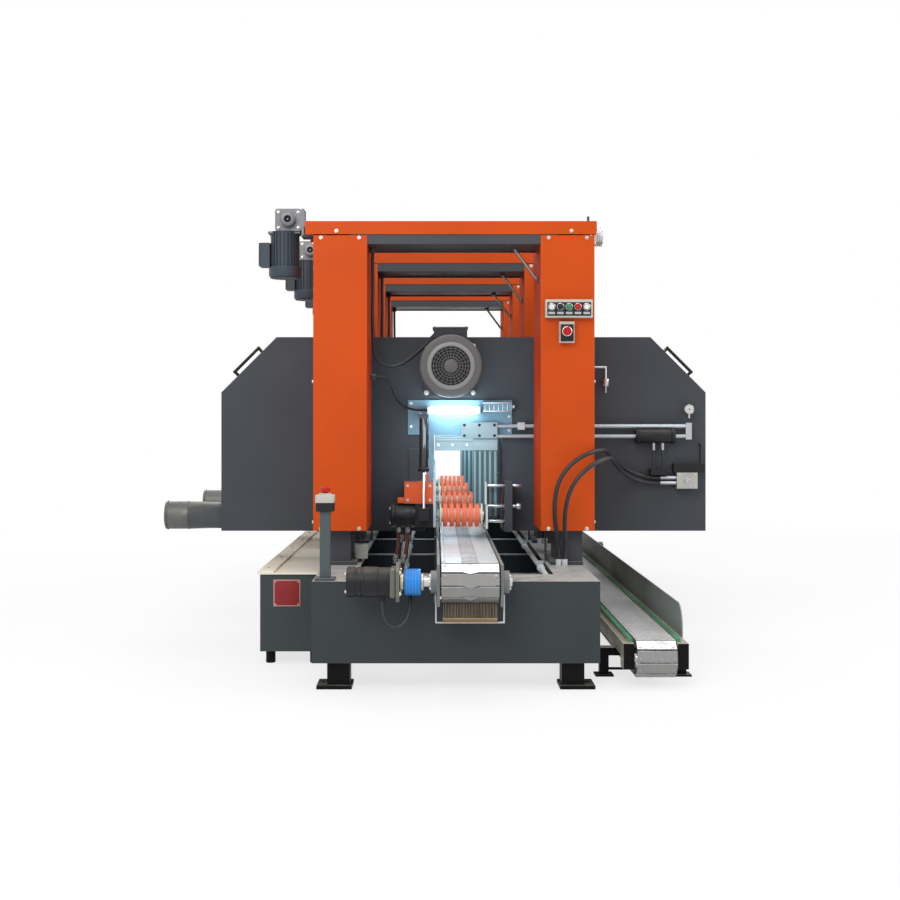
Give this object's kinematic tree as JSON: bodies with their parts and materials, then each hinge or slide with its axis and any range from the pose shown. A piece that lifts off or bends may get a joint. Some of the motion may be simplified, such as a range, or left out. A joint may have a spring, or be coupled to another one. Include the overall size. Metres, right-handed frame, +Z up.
{
  "type": "horizontal band resaw",
  "caption": "Floor-standing horizontal band resaw with bandsaw heads in a row on lifting portals over one slat feed conveyor, and a return conveyor beside the base.",
  "frame": {"origin": "on the floor, in the middle of the four corner anchor holes", "axes": "+Y is the feed direction, +X is the operator's right seen from the infeed, +Z is up"},
  "size_m": [2.71, 5.1251, 2.109],
  "materials": {
    "base_paint": "satin",
    "portal_steel": "satin",
    "orange_paint": "satin",
    "slate_paint": "satin",
    "motor_paint": "satin",
    "wheel_iron": "machined",
    "blade_steel": "ground",
    "bright_steel": "machined",
    "arm_paint": "satin",
    "roller_coat": "satin",
    "black_paint": "satin",
    "brush_fibre": "matt",
    "red_plastic": "gloss",
    "grey_plastic": "gloss",
    "trunk_paint": "satin",
    "hose_rubber": "matt"
  },
  "bodies": {
    "frame": {"base_frame": "base_paint", "portal_frames": "portal_steel", "portal_covers": "orange_paint", "lift_gearmotors": "motor_paint", "conveyor_bed": "base_paint", "conveyor_chain": "bright_steel", "feed_motor": "black_paint", "chain_brush": "brush_fibre", "estop_station": "black_paint", "control_panel": "black_paint", "side_trunk": "trunk_paint", "return_bed": "base_paint", "return_chain": "bright_steel", "hydraulic_pipes": "bright_steel", "hoses_and_cables": "hose_rubber"},
    "head_1": {"head_1_housing": "slate_paint", "head_1_motor": "motor_paint", "head_1_blade": "blade_steel", "head_1_fittings": "bright_steel"},
    "head_1_drive_wheel": {"head_1_drive_wheel": "wheel_iron"},
    "head_1_idler_wheel": {"head_1_idler_wheel": "wheel_iron"},
    "head_1_guide_arm": {"head_1_guide_arm": "bright_steel"},
    "head_1_press_arm": {"head_1_press_arm": "arm_paint"},
    "head_1_press_roller": {"head_1_press_roller": "roller_coat"},
    "head_2": {"head_2_housing": "slate_paint", "head_2_motor": "motor_paint", "head_2_blade": "blade_steel", "head_2_fittings": "bright_steel"},
    "head_2_drive_wheel": {"head_2_drive_wheel": "wheel_iron"},
    "head_2_idler_wheel": {"head_2_idler_wheel": "wheel_iron"},
    "head_2_guide_arm": {"head_2_guide_arm": "bright_steel"},
    "head_2_press_arm": {"head_2_press_arm": "arm_paint"},
    "head_2_press_roller": {"head_2_press_roller": "roller_coat"},
    "head_3": {"head_3_housing": "slate_paint", "head_3_motor": "motor_paint", "head_3_blade": "blade_steel", "head_3_fittings": "bright_steel"},
    "head_3_drive_wheel": {"head_3_drive_wheel": "wheel_iron"},
    "head_3_idler_wheel": {"head_3_idler_wheel": "wheel_iron"},
    "head_3_guide_arm": {"head_3_guide_arm": "bright_steel"},
    "head_3_press_arm": {"head_3_press_arm": "arm_paint"},
    "head_3_press_roller": {"head_3_press_roller": "roller_coat"},
    "head_4": {"head_4_housing": "slate_paint", "head_4_motor": "motor_paint", "head_4_blade": "blade_steel", "head_4_fittings": "bright_steel"},
    "head_4_drive_wheel": {"head_4_drive_wheel": "wheel_iron"},
    "head_4_idler_wheel": {"head_4_idler_wheel": "wheel_iron"},
    "head_4_guide_arm": {"head_4_guide_arm": "bright_steel"},
    "head_4_press_arm": {"head_4_press_arm": "arm_paint"},
    "head_4_press_roller": {"head_4_press_roller": "roller_coat"},
    "conveyor_drive_drum": {"conveyor_drive_drum": "bright_steel"},
    "conveyor_tail_drum": {"conveyor_tail_drum": "bright_steel"},
    "return_drive_drum": {"return_drive_drum": "bright_steel"},
    "return_tail_drum": {"return_tail_drum": "bright_steel"},
    "estop_button": {"estop_button": "red_plastic"},
    "push_button_1": {"push_button_1": "grey_plastic"},
    "push_button_2": {"push_button_2": "grey_plastic"},
    "push_button_3": {"push_button_3": "grey_plastic"},
    "mode_selector": {"mode_selector": "red_plastic"}
  },
  "joints": [
    {"name": "head_1_lift", "type": "slide", "parent": "frame", "child": "head_1", "axis": [0, 0, 1], "range_m": [-0.05, 0.2], "deforming": ["hoses_and_cables"]},
    {"name": "head_1_drive_wheel_spin", "type": "hinge", "parent": "head_1", "child": "head_1_drive_wheel", "pos_m": [-0.691, -1.191, 1.02], "axis": [0, 1, 0], "continuous": true},
    {"name": "head_1_idler_wheel_spin", "type": "hinge", "parent": "head_1", "child": "head_1_idler_wheel", "pos_m": [0.801, -1.191, 1.02], "axis": [0, 1, 0], "continuous": true},
    {"name": "head_1_guide_slide", "type": "slide", "parent": "head_1", "child": "head_1_guide_arm", "axis": [1, 0, 0], "range_m": [-0.045, 0.025]},
    {"name": "head_1_press_lift", "type": "slide", "parent": "head_1", "child": "head_1_press_arm", "axis": [0, 0, 1], "range_m": [0, 0.06]},
    {"name": "head_1_press_roller_spin", "type": "hinge", "parent": "head_1_press_arm", "child": "head_1_press_roller", "pos_m": [0.04, -1.466, 0.661], "axis": [1, 0, 0], "continuous": true},
    {"name": "head_2_lift", "type": "slide", "parent": "frame", "child": "head_2", "axis": [0, 0, 1], "range_m": [-0.05, 0.2], "deforming": ["hoses_and_cables"]},
    {"name": "head_2_drive_wheel_spin", "type": "hinge", "parent": "head_2", "child": "head_2_drive_wheel", "pos_m": [-0.691, -0.141, 1.02], "axis": [0, 1, 0], "continuous": true},
    {"name": "head_2_idler_wheel_spin", "type": "hinge", "parent": "head_2", "child": "head_2_idler_wheel", "pos_m": [0.801, -0.141, 1.02], "axis": [0, 1, 0], "continuous": true},
    {"name": "head_2_guide_slide", "type": "slide", "parent": "head_2", "child": "head_2_guide_arm", "axis": [1, 0, 0], "range_m": [-0.045, 0.025]},
    {"name": "head_2_press_lift", "type": "slide", "parent": "head_2", "child": "head_2_press_arm", "axis": [0, 0, 1], "range_m": [0, 0.06]},
    {"name": "head_2_press_roller_spin", "type": "hinge", "parent": "head_2_press_arm", "child": "head_2_press_roller", "pos_m": [0.04, -0.416, 0.661], "axis": [1, 0, 0], "continuous": true},
    {"name": "head_3_lift", "type": "slide", "parent": "frame", "child": "head_3", "axis": [0, 0, 1], "range_m": [-0.05, 0.2], "deforming": ["hoses_and_cables"]},
    {"name": "head_3_drive_wheel_spin", "type": "hinge", "parent": "head_3", "child": "head_3_drive_wheel", "pos_m": [-0.691, 0.909, 1.02], "axis": [0, 1, 0], "continuous": true},
    {"name": "head_3_idler_wheel_spin", "type": "hinge", "parent": "head_3", "child": "head_3_idler_wheel", "pos_m": [0.801, 0.909, 1.02], "axis": [0, 1, 0], "continuous": true},
    {"name": "head_3_guide_slide", "type": "slide", "parent": "head_3", "child": "head_3_guide_arm", "axis": [1, 0, 0], "range_m": [-0.045, 0.025]},
    {"name": "head_3_press_lift", "type": "slide", "parent": "head_3", "child": "head_3_press_arm", "axis": [0, 0, 1], "range_m": [0, 0.06]},
    {"name": "head_3_press_roller_spin", "type": "hinge", "parent": "head_3_press_arm", "child": "head_3_press_roller", "pos_m": [0.04, 0.634, 0.661], "axis": [1, 0, 0], "continuous": true},
    {"name": "head_4_lift", "type": "slide", "parent": "frame", "child": "head_4", "axis": [0, 0, 1], "range_m": [-0.05, 0.2], "deforming": ["hoses_and_cables"]},
    {"name": "head_4_drive_wheel_spin", "type": "hinge", "parent": "head_4", "child": "head_4_drive_wheel", "pos_m": [-0.691, 1.959, 1.02], "axis": [0, 1, 0], "continuous": true},
    {"name": "head_4_idler_wheel_spin", "type": "hinge", "parent": "head_4", "child": "head_4_idler_wheel", "pos_m": [0.801, 1.959, 1.02], "axis": [0, 1, 0], "continuous": true},
    {"name": "head_4_guide_slide", "type": "slide", "parent": "head_4", "child": "head_4_guide_arm", "axis": [1, 0, 0], "range_m": [-0.045, 0.025]},
    {"name": "head_4_press_lift", "type": "slide", "parent": "head_4", "child": "head_4_press_arm", "axis": [0, 0, 1], "range_m": [0, 0.06]},
    {"name": "head_4_press_roller_spin", "type": "hinge", "parent": "head_4_press_arm", "child": "head_4_press_roller", "pos_m": [0.04, 1.684, 0.661], "axis": [1, 0, 0], "continuous": true},
    {"name": "conveyor_drive_drum_spin", "type": "hinge", "parent": "frame", "child": "conveyor_drive_drum", "pos_m": [0.055, -2.48, 0.465], "axis": [1, 0, 0], "continuous": true},
    {"name": "conveyor_tail_drum_spin", "type": "hinge", "parent": "frame", "child": "conveyor_tail_drum", "pos_m": [0.055, 2.48, 0.465], "axis": [1, 0, 0], "continuous": true},
    {"name": "return_drive_drum_spin", "type": "hinge", "parent": "frame", "child": "return_drive_drum", "pos_m": [0.839, 2.271, 0.12], "axis": [1, 0, 0], "continuous": true},
    {"name": "return_tail_drum_spin", "type": "hinge", "parent": "frame", "child": "return_tail_drum", "pos_m": [0.839, -2.271, 0.12], "axis": [1, 0, 0], "continuous": true},
    {"name": "estop_button_press", "type": "slide", "parent": "frame", "child": "estop_button", "axis": [0, 0, 1], "range_m": [-0.006, 0], "stiffness_N_per_m": 1500, "springref_m": 0.002},
    {"name": "push_button_1_press", "type": "slide", "parent": "frame", "child": "push_button_1", "axis": [0, 1, 0], "range_m": [0, 0.004], "stiffness_N_per_m": 300, "springref_m": -0.002},
    {"name": "push_button_2_press", "type": "slide", "parent": "frame", "child": "push_button_2", "axis": [0, 1, 0], "range_m": [0, 0.004], "stiffness_N_per_m": 300, "springref_m": -0.002},
    {"name": "push_button_3_press", "type": "slide", "parent": "frame", "child": "push_button_3", "axis": [0, 1, 0], "range_m": [0, 0.004], "stiffness_N_per_m": 300, "springref_m": -0.002},
    {"name": "mode_selector_turn", "type": "hinge", "parent": "frame", "child": "mode_selector", "pos_m": [0.5175, -1.84, 1.528], "axis": [0, 1, 0], "range_deg": [-45, 45]}
  ],
  "couplings": [
    {"joint": "head_1_idler_wheel_spin", "follows": "head_1_drive_wheel_spin", "ratio": 1},
    {"joint": "head_2_idler_wheel_spin", "follows": "head_2_drive_wheel_spin", "ratio": 1},
    {"joint": "head_3_idler_wheel_spin", "follows": "head_3_drive_wheel_spin", "ratio": 1},
    {"joint": "head_4_idler_wheel_spin", "follows": "head_4_drive_wheel_spin", "ratio": 1},
    {"joint": "conveyor_tail_drum_spin", "follows": "conveyor_drive_drum_spin", "ratio": 1},
    {"joint": "return_tail_drum_spin", "follows": "return_drive_drum_spin", "ratio": 1}
  ]
}
